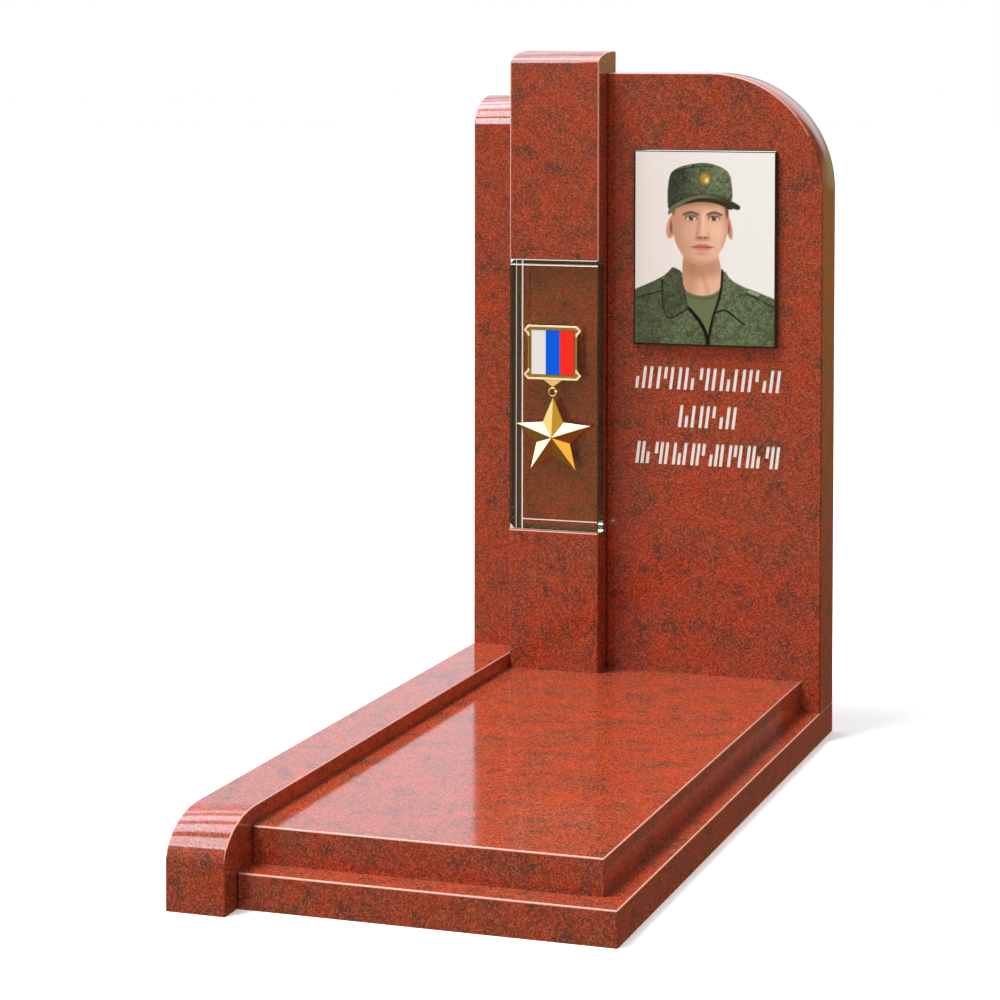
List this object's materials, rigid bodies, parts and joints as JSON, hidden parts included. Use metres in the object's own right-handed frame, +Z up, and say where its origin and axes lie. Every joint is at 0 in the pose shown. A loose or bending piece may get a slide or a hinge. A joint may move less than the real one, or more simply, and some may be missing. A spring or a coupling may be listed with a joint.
{
  "type": "military grave monument",
  "caption": "Red granite grave monument: plinth, cover slab and side curb before an upright with a glass block, a star medal, a portrait plate and engraved rows.",
  "frame": {"origin": "middle of the footprint's bounding box, on the ground", "axes": "+Z up, the front faces -Y, +X to the right when seen from the front, the side curb is at -X"},
  "size_m": [0.749, 1.603, 1.4],
  "materials": {
    "polished_granite": "polished red granite with dark and grey mottling",
    "clear_glass": "clear block with polished bevels and a faint green tint",
    "gilt_metal": "bright gilding",
    "ribbon_enamel": "enamel in white, blue and red stripes",
    "picture_glaze": "glossy glaze with a picture, dark edges"
  },
  "bodies": {
    "root": {"plinth": "polished_granite", "cover_slab": "polished_granite", "side_curb": "polished_granite", "left_wing": "polished_granite", "right_panel": "polished_granite", "column_foot": "polished_granite", "column_back": "polished_granite", "column_head": "polished_granite", "glass_block": "clear_glass", "medal_frame": "gilt_metal", "medal_ribbon": "ribbon_enamel", "medal_ring": "gilt_metal", "medal_star": "gilt_metal", "portrait_plate": "picture_glaze"}
  },
  "joints": []
}
